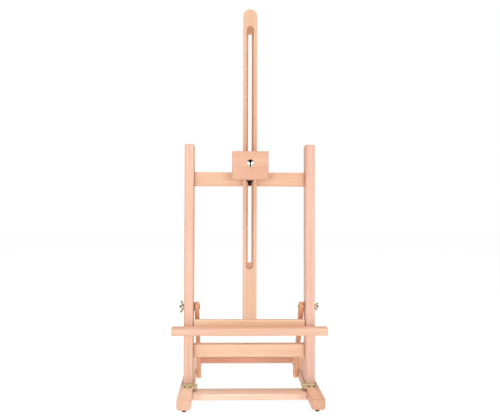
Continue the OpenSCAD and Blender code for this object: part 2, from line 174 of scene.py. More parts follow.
class Board:
    """A node tree being wired: each call adds a node, sets its values and joins its inputs.
    An input goes by its name, with _ for a space, or by i and its number."""

    def __init__(self, tree):
        self.tree = tree
        self.tree.nodes.clear()

    def add(self, kind, settings=None, **inputs):
        node = self.tree.nodes.new(kind)
        for key, value in (settings or {}).items():
            setattr(node, key, value)
        for key, value in inputs.items():
            name = int(key[1:]) if key[0] == "i" and key[1:].isdigit() else key.replace("_", " ")
            if isinstance(value, bpy.types.NodeSocket):
                self.tree.links.new(value, node.inputs[name])
            else:
                node.inputs[name].default_value = value
        return node

    def math(self, operation, *values):
        found = {f"i{n}": value for n, value in enumerate(values)}
        return self.add("ShaderNodeMath", {"operation": operation}, **found).outputs[0]

    def spread(self, value, low, high, out_low=0.0, out_high=1.0):
        """value from low..high to out_low..out_high, held at both ends."""
        return self.add("ShaderNodeMapRange", i0=value, i1=low, i2=high,
                        i3=out_low, i4=out_high).outputs[0]

    def noise(self, place, stretch, detail=2.0, roughness=0.5):
        """Noise with `stretch` grains to the metre along each axis."""
        scaled = self.add("ShaderNodeVectorMath", {"operation": "MULTIPLY"}, i0=place, i1=stretch)
        return self.add("ShaderNodeTexNoise", Vector=scaled.outputs[0], Scale=1.0,
                        Detail=detail, Roughness=roughness).outputs[0]

    def blend(self, share, first, second, kind="MIX"):
        """A colour `share` of the way from first to second."""
        node = self.add("ShaderNodeMix", {"data_type": "RGBA", "blend_type": kind},
                        i0=share, i6=first, i7=second)
        return node.outputs[2]

    def finish(self, result, **outputs):
        """Joins a group's results to its output node, and returns the group."""
        for socket, value in outputs.items():
            self.tree.links.new(value, result[socket])
        return self.tree


def group(name, inputs, outputs):
    """An empty node group with named sockets. Returns its board, what it is given and where
    its results go."""
    tree = bpy.data.node_groups.new(name, "ShaderNodeTree")
    kinds = {"vector": "NodeSocketVector", "colour": "NodeSocketColor", "value": "NodeSocketFloat"}
    for way, sockets in (("INPUT", inputs), ("OUTPUT", outputs)):
        for socket, kind in sockets.items():
            tree.interface.new_socket(name=socket, in_out=way, socket_type=kinds[kind])
    board = Board(tree)
    return board, board.add("NodeGroupInput").outputs, board.add("NodeGroupOutput").inputs


def make_beech_figure():
    """Beech as it is cut: growth rings round a pith that runs along Z, streaks and fibres drawn
    out along the grain, short dark ray flecks on the faces, pores on the sawn ends, arrises
    darkened by handling, and painted darkening, brown for painted shade in a channel and black
    for a black patch. A ring's place is its radius times the rings to the metre, plus a drift.
    Darkening goes from 1, brown, to 2, black."""
    rings_to_the_metre, wander = 330.0, 6.0
    fleck_tint, sawn_tint = (0.50, 0.38, 0.32, 1), (0.90, 0.84, 0.78, 1)
    # painted_dark_tint is the brown of painted shade.
    handled_tint, painted_dark_tint = (0.84, 0.76, 0.70, 1), (0.82, 0.68, 0.60, 1)
    # patch_black is the colour of a black patch painted on the wood.
    pore_brown, patch_black = (0.20, 0.10, 0.06, 1), (0.012, 0.006, 0.004, 1)
    board, given, result = group(
        "beech_figure",
        {"Place": "vector", "Pale": "colour", "Deep": "colour", "Rosy": "colour",
         "Figure": "value", "End": "value", "Arris": "value", "Scorch": "value"},
        {"Colour": "colour", "Roughness": "value", "Height": "value"})
    place = given["Place"]
    drift = board.noise(place, (26, 26, 3), 3.0)
    across = board.add("ShaderNodeVectorMath", {"operation": "MULTIPLY"}, i0=place, i1=(1, 1, 0))
    radius = board.add("ShaderNodeVectorMath", {"operation": "LENGTH"}, i0=across.outputs[0])
    ring = board.math("MULTIPLY_ADD", radius.outputs["Value"], rings_to_the_metre,
                      board.math("MULTIPLY", drift, wander))
    late_wood = board.math("POWER", board.math("FRACT", ring), 3.0)
    streaks = board.spread(board.noise(place, (150, 150, 4), 3.0, 0.6), 0.36, 0.66)
    fibres = board.spread(board.noise(place, (1500, 1500, 45), 2.0, 0.6), 0.3, 0.7)
    flecks = board.spread(board.noise(place, (1250, 1250, 250), 1.0), 0.63, 0.72)
    pores = board.spread(board.noise(place, (3000, 3000, 260), 1.0), 0.58, 0.72)
    clouds = board.spread(board.noise(place, (14, 14, 5), 2.0), 0.35, 0.65)
    body = board.blend(streaks, given["Pale"], given["Rosy"])
    cloudy = board.math("MULTIPLY", clouds, board.math("MULTIPLY", given["Figure"], 0.35))
    body = board.blend(cloudy, body, given["Deep"])
    lines = board.math("ADD", board.math("MULTIPLY", late_wood, 0.50),
                       board.math("MULTIPLY", fibres, 0.30))
    body = board.blend(board.math("MULTIPLY", lines, given["Figure"]), body, given["Deep"])
    body = board.blend(board.math("MULTIPLY", flecks, 0.34), body,
                       board.blend(1.0, given["Deep"], fleck_tint, "MULTIPLY"))
    sawn = board.blend(1.0, body, sawn_tint, "MULTIPLY")
    sawn = board.blend(board.math("MULTIPLY", pores, 0.30), sawn, pore_brown)
    body = board.blend(given["End"], body, sawn)
    handled = board.blend(1.0, body, handled_tint, "MULTIPLY")
    body = board.blend(board.math("MULTIPLY", given["Arris"], 0.75), body, handled)
    # Painted shade and a black patch: Darkening up to 1 browns the wood, and from 1 to 2 turns it
    # black.
    painted_darker = board.blend(1.0, body, painted_dark_tint, "MULTIPLY")
    body = board.blend(given["Scorch"], body, painted_darker)
    body = board.blend(board.spread(given["Scorch"], 1, 2), body, patch_black)
    dullness = board.math("ADD", board.spread(fibres, 0, 1, 0.40, 0.52),
                          board.math("MULTIPLY", given["End"], 0.16))
    dullness = board.math("SUBTRACT", dullness, board.math("MULTIPLY", given["Arris"], 0.05))
    pits = board.math("MAXIMUM", board.math("MULTIPLY", flecks, 0.7),
                      board.math("MULTIPLY", pores, 0.5))
    height = board.math("SUBTRACT", board.math("MULTIPLY", fibres, 0.6), pits)
    return board.finish(result, Colour=body, Roughness=dullness, Height=height)


beech_figure = make_beech_figure()


def varnished(board, colour, roughness, height, lift, depth, **values):
    """The shader of a finished surface: colour and dullness from a pattern, relief as bump."""
    bump = board.add("ShaderNodeBump", Strength=lift, Distance=depth, Height=height)
    shader = board.add("ShaderNodeBsdfPrincipled", Base_Color=colour, Roughness=roughness,
                       Normal=bump.outputs[0], **values)
    board.add("ShaderNodeOutputMaterial", Surface=shader.outputs[0])


def beech(name, grain, pith, pale=(228, 192, 166), rosy=(222, 178, 152), deep=(196, 140, 108),
          figure=0.8, lean=0.0, black_patch=None):
    """Sealed beech whose grain runs along x, y or z. lean tips a grain along z backwards, in
    radians. pith says how far off the heart of the tree lies, in metres, and so how the growth
    rings cross the piece. black_patch is the middle and the radius of a ball of wood painted
    black."""
    material = bpy.data.materials.new(name)
    material.use_nodes = True
    board = Board(material.node_tree)
    turn = {"x": (0, -math.pi / 2, 0), "y": (math.pi / 2, 0, 0), "z": (lean, 0, 0)}[grain]
    source = board.add("ShaderNodeTexCoord")
    along = board.add("ShaderNodeMapping", Vector=source.outputs["Object"], Location=pith,
                      Rotation=turn)
    facing = board.add("ShaderNodeMapping", {"vector_type": "NORMAL"},
                       Vector=source.outputs["Normal"], Rotation=turn)
    lengthwise = board.add("ShaderNodeSeparateXYZ", Vector=facing.outputs[0]).outputs[2]
    end = board.spread(board.math("ABSOLUTE", lengthwise), 0.6, 0.85)
    arris = board.add("ShaderNodeAttribute", {"attribute_name": "arris"}).outputs["Fac"]
    # scorch marks the faces painted brown as shade.
    scorch = board.add("ShaderNodeAttribute", {"attribute_name": "scorch"}).outputs["Fac"]
    if black_patch:
        # Paints the wood black in a ball about the given middle.
        middle, radius = black_patch
        off = board.add("ShaderNodeVectorMath", {"operation": "DISTANCE"},
                        i0=source.outputs["Object"], i1=middle).outputs["Value"]
        black_r, black, unpainted = 0.85 * radius, 2.0, 0.0
        scorch = board.spread(off, black_r, radius, black, unpainted)
    cut = board.add("ShaderNodeGroup", {"node_tree": beech_figure}, Place=along.outputs[0],
                    Pale=screen(*pale), Rosy=screen(*rosy), Deep=screen(*deep),
                    Figure=figure, End=end, Arris=arris, Scorch=scorch).outputs
    varnished(board, cut["Colour"], cut["Roughness"], cut["Height"], lift=0.25, depth=0.0002,
              Coat_Weight=0.12, Coat_Roughness=0.35)
    return material


runner_arris, runner_lower_arris = 0.0018, 0.0055
runner_tones = {"left": dict(pale=(234, 207, 184), rosy=(227, 194, 168), deep=(192, 132, 98)),
                "right": dict(pale=(221, 184, 160), rosy=(207, 160, 134), deep=(192, 132, 98))}
for side, pith in (("left", (0.03, 0.07, 0.4)), ("right", (-0.05, 0.06, 1.3))):
    low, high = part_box(f"runner_{side}")
    grid = stick(low, high, 1, runner_arris, runner_lower_arris)
    fix(planed(f"beech_runner_{side}", grid), "base", "beech",
        beech(f"runner_{side}_beech", "y", pith, **runner_tones[side]), f"runner_{side}")


# ---- Base rails and their dowels
# Two flat rails of beech join the runners front and rear, each held by two glued dowels at
# either end. The dowels stay out of sight inside the joints.

rail_arris = 0.0014
rail_tones = {"front": dict(pale=(233, 206, 188), rosy=(227, 194, 173), deep=(206, 158, 128)),
              # The rear rail's darker, redder tones are painted shade, for the shade it lies in
              # under the stretcher.
              "rear": dict(pale=(208, 155, 129), rosy=(199, 141, 115), deep=(172, 112, 82))}
for end, pith in (("front", (0.05, 0.02, 0.0)), ("rear", (-0.04, 0.06, 0.7))):
    low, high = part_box(f"base_{end}_rail")
    fix(planed(f"beech_{end}_rail", stick(low, high, 0, rail_arris)), "base", "beech",
        beech(f"{end}_rail_beech", "x", pith, **rail_tones[end]), f"base_{end}_rail")

dowel_beech = beech("dowel_beech", "x", (0.01, 0.02, 0.2), pale=(214, 176, 144),
                    rosy=(210, 168, 138))
for hidden in ("base_dowels", "frame_dowels"):
    nodes[hidden].data.materials[0] = dowel_beech


# ---- Rubber feet and their screws
# Four turned bumpers of dark rubber under the ends of the runners, each with a dished
# underside and a countersunk cross-head screw through it.

def solids(node):
    """The points of each separate solid of a CAD node, in order from left to right."""
    work = bmesh.new()
    work.from_mesh(nodes[node].data)
    bmesh.ops.remove_doubles(work, verts=work.verts, dist=1e-6)
    work.verts.ensure_lookup_table()
    seen, found = set(), []
    for start in work.verts:
        if start.index in seen:
            continue
        seen.add(start.index)
        reached = [start]
        for vertex in reached:
            for edge in vertex.link_edges:
                other = edge.other_vert(vertex)
                if other.index not in seen:
                    seen.add(other.index)
                    reached.append(other)
        found.append(np.array([vertex.co for vertex in reached]))
    work.free()
    return sorted(found, key=lambda points: points.mean(axis=0).round(4).tolist())


def lie(points, axis=None):
    """Where a turned solid lies: the middle of its head end, the way it points from there, its
    length and its largest radius. Its axis is its longest principal direction, unless given."""
    middle = (points.min(axis=0) + points.max(axis=0)) / 2
    if axis is None:
        middle = points.mean(axis=0)
        axis = np.linalg.svd(points - middle, full_matrices=False)[2][0]
    axis = np.asarray(axis, float) / np.linalg.norm(axis)
    along = (points - middle) @ axis
    off = np.linalg.norm(points - middle - along[:, None] * axis, axis=1)
    if along[off > 0.99 * off.max()].mean() > (along.min() + along.max()) / 2 + 1e-6:
        axis, along = -axis, -along
    return middle + axis * along.min(), axis, along.max() - along.min(), off.max()


def set_down(grid, start, axis, across=(1, 0, 0)):
    """Carries a grid drawn about +Z to start, with +Z turned to axis and +X to across."""
    axis = np.asarray(axis, float)
    across = np.asarray(across, float) - axis * np.dot(across, axis)
    if np.linalg.norm(across) < 0.1:
        across = np.cross(axis, (0, 1, 0))
    across /= np.linalg.norm(across)
    return np.asarray(start) + grid @ np.stack([across, np.cross(axis, across), axis])


def turned(radii, heights, columns=48):
    """A surface of revolution: the profile (radius, height) swept once round Z."""
    angle = np.linspace(0, 2 * np.pi, columns, endpoint=False)
    radii, heights = np.asarray(radii, float)[:, None], np.asarray(heights, float)[:, None]
    return np.stack([radii * np.cos(angle), radii * np.sin(angle),
                     heights + 0 * angle], axis=-1)


def smoothstep(low, high, value):
    """0 below low, 1 above high, and 3t^2 - 2t^3 between them."""
    t = np.clip((value - low) / (high - low), 0, 1)
    return t * t * (3 - 2 * t)


def cross_screw(length, head_r, shank_r, cone_h, dome_h):
    """A screw along +Z from its head at z = 0, with a cross recess. The head's face is a
    shallow dome less the recess: its depth falls smoothly to nothing at the edges of two
    crossed bars. Under it come the cone or the pan, the shank and a pointed tip. The bars'
    sizes and the recess's depth are shares of the head's radius."""
    columns = 64
    slot_half, slot_reach, slot_wall, slot_depth = 0.12, 0.50, (0.08, 0.12), 0.42
    face_r = head_r * np.linspace(0, 1, 17)
    face = turned(face_r, 0 * face_r, columns)
    x, y = np.abs(face[..., 0]) / head_r, np.abs(face[..., 1]) / head_r
    bar = (smoothstep(slot_half + slot_wall[0], slot_half, np.minimum(x, y))
           * smoothstep(slot_reach + slot_wall[1], slot_reach, np.maximum(x, y)))
    recess = slot_depth * head_r * bar * (1 - 0.45 * np.maximum(x, y))
    face[..., 2] = recess + dome_h * ((face[..., 0] ** 2 + face[..., 1] ** 2) / head_r ** 2)
    rim = 0.04 * head_r
    below_r = [head_r, shank_r, shank_r, 0.55 * shank_r, 0]
    below_z = [dome_h + rim, max(cone_h, dome_h + 2 * rim), length - 2.5 * shank_r,
               length - 0.8 * shank_r, length]
    return np.concatenate([face, turned(below_r, below_z, columns)])


def polished(mesh, sharp=35):
    """Shades a mesh smooth except across edges that turn by more than `sharp` degrees."""
    mesh.polygons.foreach_set("use_smooth", np.ones(len(mesh.polygons), bool))
    mesh.set_sharp_from_angle(angle=math.radians(sharp))
    return mesh


def make_handled_metal():
    """Plated metal that has been handled: cloudy tarnish, small dull spots and fine scratches,
    with a brighter colour where it is rubbed."""
    board, given, result = group(
        "handled_metal",
        {"Place": "vector", "Bright": "colour", "Dull": "colour", "Tarnish": "value",
         "Shine": "value"},
        {"Colour": "colour", "Roughness": "value", "Height": "value"})
    place = given["Place"]
    clouds = board.noise(place, (260, 260, 260), 4.0, 0.6)
    spots = board.spread(board.noise(place, (1900, 1900, 1900), 2.0), 0.6, 0.7)
    scratches = board.spread(board.noise(place, (5200, 700, 900), 1.0), 0.62, 0.7)
    low_edge = board.math("SUBTRACT", 0.75, board.math("MULTIPLY", given["Tarnish"], 0.5))
    cover = board.spread(clouds, low_edge, board.math("ADD", low_edge, 0.16))
    cover = board.math("MAXIMUM", cover, board.math("MULTIPLY", spots, given["Tarnish"]))
    colour = board.blend(cover, given["Bright"], given["Dull"])
    dullness = board.math("ADD", given["Shine"], board.math("MULTIPLY", cover, 0.22))
    dullness = board.math("ADD", dullness, board.math("MULTIPLY", scratches, 0.08))
    height = board.math("SUBTRACT", board.math("MULTIPLY", clouds, 0.5),
                        board.math("ADD", board.math("MULTIPLY", spots, 0.3),
                                   board.math("MULTIPLY", scratches, 0.4)))
    return board.finish(result, Colour=colour, Roughness=dullness, Height=height)


handled_metal = make_handled_metal()


def metal(name, bright, dull, tarnish, shine, lift=0.2, bare=1.0):
    """A plated or bare metal: bright and dull are its two colours, shine its least roughness,
    and bare is how little lacquer or bloom lies over it."""
    material = bpy.data.materials.new(name)
    material.use_nodes = True
    board = Board(material.node_tree)
    place = board.add("ShaderNodeTexCoord").outputs["Object"]
    worn = board.add("ShaderNodeGroup", {"node_tree": handled_metal}, Place=place,
                     Bright=screen(*bright), Dull=screen(*dull), Tarnish=tarnish,
                     Shine=shine).outputs
    varnished(board, worn["Colour"], worn["Roughness"], worn["Height"], lift, depth=0.0001,
              Metallic=bare)
    return material


def dark_rubber():
    """Moulded rubber: almost black, with a fine matt grain and pale dust in its hollows."""
    material = bpy.data.materials.new("dark_rubber")
    material.use_nodes = True
    board = Board(material.node_tree)
    place = board.add("ShaderNodeTexCoord").outputs["Object"]
    grain = board.noise(place, (2600, 2600, 2600), 2.0)
    dust = board.spread(board.noise(place, (420, 420, 420), 3.0), 0.5, 0.75)
    colour = board.blend(board.math("MULTIPLY", dust, 0.35), screen(46, 32, 27),
                         screen(92, 76, 66))
    varnished(board, colour, board.spread(grain, 0.3, 0.7, 0.62, 0.8), grain, lift=0.3,
              depth=0.0001)
    return material


foot_low, foot_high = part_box("rubber_feet")
foot_h = foot_high.z - foot_low.z
taper, lip, rim, dish_r, dish_h = 0.0010, 0.0012, 0.0002, 0.0034, 0.0022
curl = np.linspace(0, np.pi / 2, 7)
bumper = []
for points in solids("rubber_feet"):
    start, _, _, foot_r = lie(points, (0, 0, -1))
    radii = np.concatenate([[0, dish_r - rim, dish_r, dish_r + 2 * rim],
                            foot_r - taper - lip + lip * np.sin(curl), [foot_r, foot_r, 0]])
    heights = np.concatenate([[dish_h, dish_h, dish_h - 1.5 * rim, 0],
                              lip - lip * np.cos(curl), [foot_h - 2 * rim, foot_h, foot_h]])
    bumper.append(turned(radii, heights) + np.array([start[0], start[1], foot_low.z]))
fix(polished(closed_mesh("rubber_bumpers", *gather(bumper))), "base", "rubber", dark_rubber(),
    "rubber_feet")


def screws(name, node, body, material, head_h=0.0014, shank_r=0.0015, proud=0.0):
    """Cross-head screws in the places of a CAD node's screws, with heads that are flush or
    stand proud in a dome. Each is driven home at another angle."""
    first_turn, next_turn, flush_dome = 23, 41, 0.0001
    grids = []
    for number, points in enumerate(solids(node)):
        start, axis, length, head_r = lie(points)
        turn = math.radians(first_turn + next_turn * number)
        across = np.array([math.cos(turn), math.sin(turn), 0.3])
        screw = cross_screw(length + proud, head_r, shank_r, head_h + proud,
                            flush_dome + proud)
        grids.append(set_down(screw, start - proud * axis, axis, across))
    fix(polished(closed_mesh(name, *gather(grids))), body, "zinc_steel", material, node)


zinc = metal("zinc_plate", (190, 188, 182), (132, 124, 112), tarnish=0.5, shine=0.30)
screws("foot_cross_screws", "foot_screws", "base", zinc)


# ---- Butt hinges
# Two small pressed-brass butt hinges join the posts to the runners. Each leaf is rolled into
# the knuckles round a brass pin, and screwed down with cross-head screws, whose heads stand up
# a little on the runners. The screws are near-black brown: their own dark steel and painted shade
# of the knuckles' shadow.

def soften(name, node, arris, hole=0.035, segments=3):
    """A merged copy of a CAD mesh with its arrises rounded to a small radius. The rims of
    holes, shorter round than `hole`, stay crisp. Edges that turn more than 30 degrees are
    arrises, and those that turn from 0.5 to 30 lie on a curved face."""
    level, curving, turning = (math.radians(degrees) for degrees in (0.3, 0.5, 30))
    work = bmesh.new()
    work.from_mesh(nodes[node].data)
    bmesh.ops.remove_doubles(work, verts=work.verts, dist=1e-6)
    bmesh.ops.dissolve_limit(work, angle_limit=level, verts=work.verts, edges=work.edges)
    hard = {edge for edge in work.edges if edge.calc_face_angle(0) > turning}
    chosen, seen = [], set()
    for start in sorted(hard, key=lambda edge: edge.index):
        if start in seen:
            continue
        seen.add(start)
        run = [start]
        for edge in run:
            for vertex in edge.verts:
                for other in vertex.link_edges:
                    if other in hard and other not in seen:
                        seen.add(other)
                        run.append(other)
        if sum(edge.calc_length() for edge in run) > hole:
            chosen += run
    curved = {face for edge in work.edges
              if curving < edge.calc_face_angle(0) < turning
              for face in edge.link_faces}
    for face in work.faces:
        face.smooth = face in curved
        face.tag = False
    made = bmesh.ops.bevel(work, geom=chosen, offset=arris, segments=segments, profile=0.5,
                           affect="EDGES", clamp_overlap=False, loop_slide=True,
                           offset_type="OFFSET")
    for face in made["faces"]:
        face.smooth = True
        face.tag = True
    bmesh.ops.triangulate(work, faces=[face for face in work.faces if len(face.verts) > 4])
    work.faces.ensure_lookup_table()
    mesh = bpy.data.meshes.new(name)
    rounded = np.array([face.tag for face in work.faces])
    smooth = np.array([face.smooth for face in work.faces])
    work.to_mesh(mesh)
    work.free()
    mesh.materials.clear()
    mark_arrises(mesh, rounded)
    mesh.polygons.foreach_set("use_smooth", smooth)
    return mesh


brass = metal("pressed_brass", (236, 222, 182), (198, 172, 130), tarnish=0.5, shine=0.42,
              bare=0.6)
# Near-black brown steel: the screws' own dark colour and painted shade of the knuckles' shadow.
dark_screw_steel = metal("dark_steel_with_painted_shade", (62, 42, 24), (30, 20, 12), tarnish=0.6, shine=0.50, bare=0.5)
leaf_arris, leaf_hole, pin_dome, screw_dome = 0.00025, 0.02, 0.0005, 0.0010
for side in ("left", "right"):
    for part, body in (("base", "base"), ("post", "h_frame")):
        name = f"hinge_leaf_{part}_{side}"
        fix(soften(f"brass_{name}", name, leaf_arris, leaf_hole, segments=2), body, "brass",
            brass, name)

pins = []
for points in solids("hinge_pins"):
    start, axis, length, pin_r = lie(points, (1, 0, 0))
    curl = np.linspace(0, np.pi / 2, 6)
    radii = np.concatenate([pin_r * np.sin(curl), pin_r * np.cos(curl)])
    heights = np.concatenate([pin_dome * (1 - np.cos(curl)),
                              length - pin_dome * (1 - np.sin(curl))])
    pins.append(set_down(turned(radii, heights, columns=32), start, axis))
fix(polished(closed_mesh("domed_hinge_pins", *gather(pins))), "base", "brass", brass,
    "hinge_pins")
screws("hinge_cross_screws_base", "hinge_screws_base", "base", dark_screw_steel, proud=screw_dome)
screws("hinge_cross_screws_post", "hinge_screws_post", "h_frame", dark_screw_steel)


# ---- Strut pivots
# A countersunk cross-head screw, flush in the foot of each strut, holds it to the inner face
# of a runner so that the strut can turn.

screws("strut_pivot_cross_screws", "strut_pivot_screws", "base", zinc, head_h=0.0021,
       shank_r=0.0025)


# ---- Posts
# Two upright posts of rosy beech, sanded smooth, square at the top and sawn to a bevel at the
# foot so that the hinge lets them lean back.

pin = np.array(joints["frame_tilt"]["pos_m"])
up = np.array(joints["mast_slide"]["axis"])
leaned = np.stack([(1, 0, 0), np.cross(up, (1, 0, 0)), up], axis=1)
lean = math.atan2(up[1], up[2])
stand = Matrix([[*leaned[row], pin[row]] for row in range(3)] + [[0, 0, 0, 1]])


def node_points(node):
    """The points of a CAD node as rows of an array."""
    return np.array([vertex.co for vertex in nodes[node].data.vertices])


def upright(points):
    """Points in the axes of the leaning frame: across, back and up it, from the hinge pin."""
    return (points - pin) @ leaned


def level_stick(node, along, arris):
    """The stick that fills a CAD node's box in the axes of the leaning frame."""
    points = upright(node_points(node))
    return stick(points.min(axis=0), points.max(axis=0), along, arris)


post_arris, foot_zone = 0.0018, 0.01
post_tones = {"left": dict(pale=(225, 189, 166), rosy=(217, 171, 147), deep=(192, 136, 108)),
              "right": dict(pale=(222, 187, 168), rosy=(214, 169, 149), deep=(190, 135, 110))}
for side, pith in (("left", (0.19, 0.05, 0.3)), ("right", (-0.07, 0.06, 1.9))):
    points = upright(node_points(f"post_{side}"))
    low, high = points.min(axis=0), points.max(axis=0)
    front_foot = points[points[:, 1] < low[1] + 1e-5, 2].min()
    back_foot = points[points[:, 1] > high[1] - 1e-5, 2].min()
    grid = stick(low, high, 2, post_arris)
    bevel = (back_foot - front_foot) / (high[1] - low[1])
    grid[..., 2] += np.where(grid[..., 2] < low[2] + foot_zone,
                             (grid[..., 1] - low[1]) * bevel, 0)
    fix(planed(f"beech_post_{side}", grid, stand), "h_frame", "beech",
        beech(f"post_{side}_beech", "z", pith, lean=lean, figure=0.55, **post_tones[side]),
        f"post_{side}")


# ---- Crossbars
# The upper crossbar carries the mast's clamp, and the lower stretcher keeps the posts apart.
# Both are beech with the grain across, and are glued to the posts on dowels. The upper one is
# painted black in a patch about the clamp's bolt, where it shows through the mast's slot.

bar_arris = 0.0014
bar_tones = {"upper_crossbar": dict(pale=(226, 192, 162), rosy=(218, 178, 147)),
             # The lower stretcher's paler tones are painted light, for the direct light that falls
             # on its front.
             "lower_stretcher": dict(pale=(243, 213, 185), rosy=(236, 200, 168))}
# The black patch is a ball about the bolt, so far in front of the nut's seat that it breaks the
# crossbar's front face and doesn't reach the back.
patch_depth, patch_r = 0.025, 0.0158
patch_middle = (np.array(joints["mast_nut_turn"]["pos_m"])
                - patch_depth * np.array(joints["mast_nut_turn"]["axis"]))
black_patches = {"upper_crossbar": (patch_middle, patch_r), "lower_stretcher": None}
for name, pith in (("upper_crossbar", (0.09, 0.08, 0.1)), ("lower_stretcher", (-0.4, 0.05, 0.9))):
    fix(planed(f"beech_{name}", level_stick(name, 0, bar_arris), stand), "h_frame", "beech",
        beech(f"{name}_beech", "x", pith, black_patch=black_patches[name], **bar_tones[name]), name)


# ---- Clamp bolts of the struts and of the mast
# Mushroom-headed bolts with a rolled thread at the free end. The strut bolts, yellow with age,
# go through strut, spacer and post. The mast's bolt has gone black: its head sits in the
# channel, and it goes out to the rear.

def washer(inner_r, outer_r, thick):
    """A pressed washer: a ring whose rectangular section has quarter-round outer corners of
    radius s, swept round Z: outer_r - s + s sin t across and s - s cos t up, t to 90 degrees."""
    soft = 0.3 * thick
    turn = np.linspace(0, np.pi / 2, 4)
    out, rise = soft * np.sin(turn), soft * np.cos(turn)
    radii = np.concatenate([[inner_r], outer_r - soft + out, outer_r - soft + rise, [inner_r]])
    heights = np.concatenate([[0], soft - rise, thick - soft + out, [thick]])
    grid = turned(radii, heights, columns=64)
    return np.concatenate([grid, grid[:1]])


bolt_r, bore_r = 0.003, 0.00305


def washers(name, node, axis, body="h_frame"):
    """Washers in the places of a CAD node's washers, bored to clear a clamp bolt. The last row
    of a ring meets its first, so it wants no end faces."""
    grids = []
    for points in solids(node):
        start, way, thick, outer_r = lie(points, axis)
        grids.append(set_down(washer(bore_r, outer_r, thick), start, way))
    points, faces = gather(grids)
    ring = closed_mesh(name, points, [face for face in faces if len(face) == 4])
    fix(polished(ring, 40), body, "zinc_steel", zinc, node)


def clamp_bolt(length, head_r, head_h, thread=0.016, pitch=0.001, groove=0.0006):
    """A domed bolt from the crown of its head at z = 0. Crown: a cap of a sphere, out to a
    share of the head's radius and down to a share of its height, then a small rolled edge.
    Thread: the radius falls and rises as a rounded triangle wave of height over pitch less
    turn, so that the crests climb one pitch for each turn. The last pitch is chamfered by one
    groove's depth."""
    columns, rows_to_a_pitch = 48, 8
    crown_r, crown_h, edge_h = 0.985, 0.88, 0.94
    face_r = crown_r * head_r * np.linspace(0, 1, 12)
    sphere_r = (head_r ** 2 + head_h ** 2) / (2 * head_h)
    crown = sphere_r - np.sqrt(sphere_r ** 2 - face_r ** 2)
    crown *= crown_h * head_h / crown[-1]
    head = turned(np.append(face_r, [head_r, face_r[-1], bolt_r]),
                  np.append(crown, [edge_h * head_h, head_h, head_h]), columns)
    plain_end = max(length - thread, head_h + pitch)
    heights = np.arange(plain_end, length - 0.4 * pitch, pitch / rows_to_a_pitch)
    angle = np.linspace(0, 2 * np.pi, columns, endpoint=False)
    wave = np.abs(((heights[:, None] / pitch - angle / (2 * np.pi)) % 1) * 2 - 1)
    fade = smoothstep(0, pitch, heights - plain_end)[:, None]
    chamfer = np.clip((heights - (length - pitch)) / pitch, 0, 1)[:, None]
    radius = bolt_r - groove * (fade * smoothstep(0.1, 0.9, wave) + chamfer)
    worm = np.stack([radius * np.cos(angle), radius * np.sin(angle),
                     heights[:, None] + 0 * angle], axis=-1)
    tip = turned([bolt_r - groove - 0.0005, 0], [length, length], columns)
    return np.concatenate([head, worm, tip])


def place_bolt(name, node, body, slot, material, axis, head_h=0.0034):
    """One clamp bolt in the place of a CAD node."""
    start, way, length, head_r = lie(solids(node)[0], axis)
    bolt = set_down(clamp_bolt(length, head_r, head_h), start, way)
    fix(polished(closed_mesh(name, *skin(bolt)), 50), body, slot, material, node)


dark_zinc = metal("blackened_zinc", (74, 62, 50), (34, 26, 20), tarnish=0.6, shine=0.40)
yellow_zinc = metal("yellowed_zinc", (206, 196, 152), (142, 128, 92), tarnish=0.6, shine=0.36)
sideways, backwards = joints["strut_nut_right_turn"]["axis"], joints["mast_nut_turn"]["axis"]
strut_head_h = 0.0024
for side in ("left", "right"):
    place_bolt(f"strut_{side}_carriage_bolt", f"strut_bolt_{side}", "h_frame", "zinc_steel",
               yellow_zinc, sideways, strut_head_h)
place_bolt("mast_carriage_bolt", "mast_bolt", "h_frame", "zinc_steel", dark_zinc, backwards)
washers("strut_outer_rings", "strut_outer_washers", sideways)
washers("strut_spacer_rings", "strut_spacer_washers", sideways)
washers("mast_ring", "mast_washer", backwards)


# ---- Struts
# Two slotted struts of beech brace the posts from the runners; their warmer, browner tones are
# painted shade, as they stand behind the posts and the tray bar. Each has a rounded head with the
# clamp bolt's slot and a square foot that turns on its pivot screw.

strut_arris = 0.0008
# Browner than the other pieces: painted shade.
strut_tones = dict(pale=(228, 176, 138), rosy=(220, 160, 124), deep=(188, 122, 86))
strut_run = (np.array(joints["strut_nut_left_turn"]["pos_m"])
             - np.array(joints["strut_left_pivot"]["pos_m"]))
strut_lean = math.atan2(strut_run[1], strut_run[2])
for side, pith in (("left", (0.05, 0.03, 0.2)), ("right", (-0.03, 0.05, 0.8))):
    name = f"strut_{side}"
    fix(soften(f"beech_{name}", name, strut_arris), name, "beech",
        beech(f"{name}_beech", "z", pith, lean=strut_lean, **strut_tones), name)


# ---- Mast and tray
# The mast is one long stick of beech with a round top, a slot right through it, and a wider
# shallow channel in front for the bolt's head. It is lapped into the back of the tray bar,
# which slides between the posts and carries the ledge.

def mark_painted_dark(mesh, painted_darker):
    """Keeps which faces are painted darker, for the wood's figure to brown them as painted shade.
    """
    mesh.attributes.new("scorch", "FLOAT", "FACE").data.foreach_set(
        "value", painted_darker.astype(float))


mast_arris, tray_arris, channel_half, planed_skin = 0.0010, 0.0014, 0.0079, 0.0003
mast_tones = dict(pale=(232, 200, 176), rosy=(225, 186, 158), deep=(202, 148, 112))
# The tray bar's paler tones are painted light, lifting it out of the shade that the ledge casts on
# it.
tray_bar_tones = dict(pale=(246, 216, 186), rosy=(238, 201, 167), deep=(210, 154, 114))
ledge_tones = dict(pale=(223, 190, 167), rosy=(214, 172, 146), deep=(194, 138, 106))

